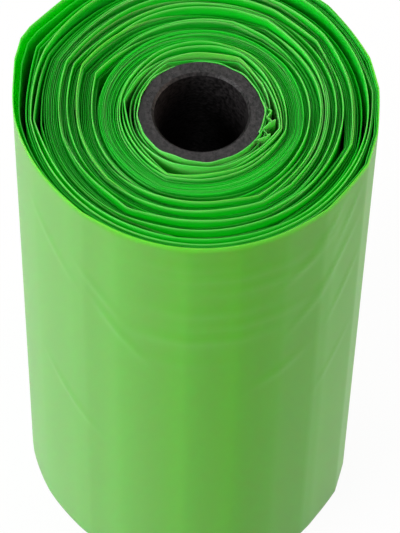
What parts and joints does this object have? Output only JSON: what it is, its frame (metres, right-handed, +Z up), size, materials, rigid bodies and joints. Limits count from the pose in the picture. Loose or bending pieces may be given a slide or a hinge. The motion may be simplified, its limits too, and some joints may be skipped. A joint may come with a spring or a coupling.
{
  "type": "roll of dog poop bags",
  "caption": "Roll of green film bags folded lengthwise and wound on a black plastic core tube, with creased, slack outer turns; the bore takes a dispenser's spindle.",
  "frame": {"origin": "centre of the core's bore at the roll's lower end, on the surface that it stands on", "axes": "+Z up along the core's axis; +Y away from the side that the picture shows nearest"},
  "size_m": [0.0343, 0.0335, 0.062],
  "materials": {
    "core_plastic": "matt black extruded plastic, sawn ends",
    "bag_film": "thin translucent green film, soft gloss"
  },
  "bodies": {
    "root": {"core_tube": "core_plastic", "bag_web": "bag_film"}
  },
  "joints": []
}
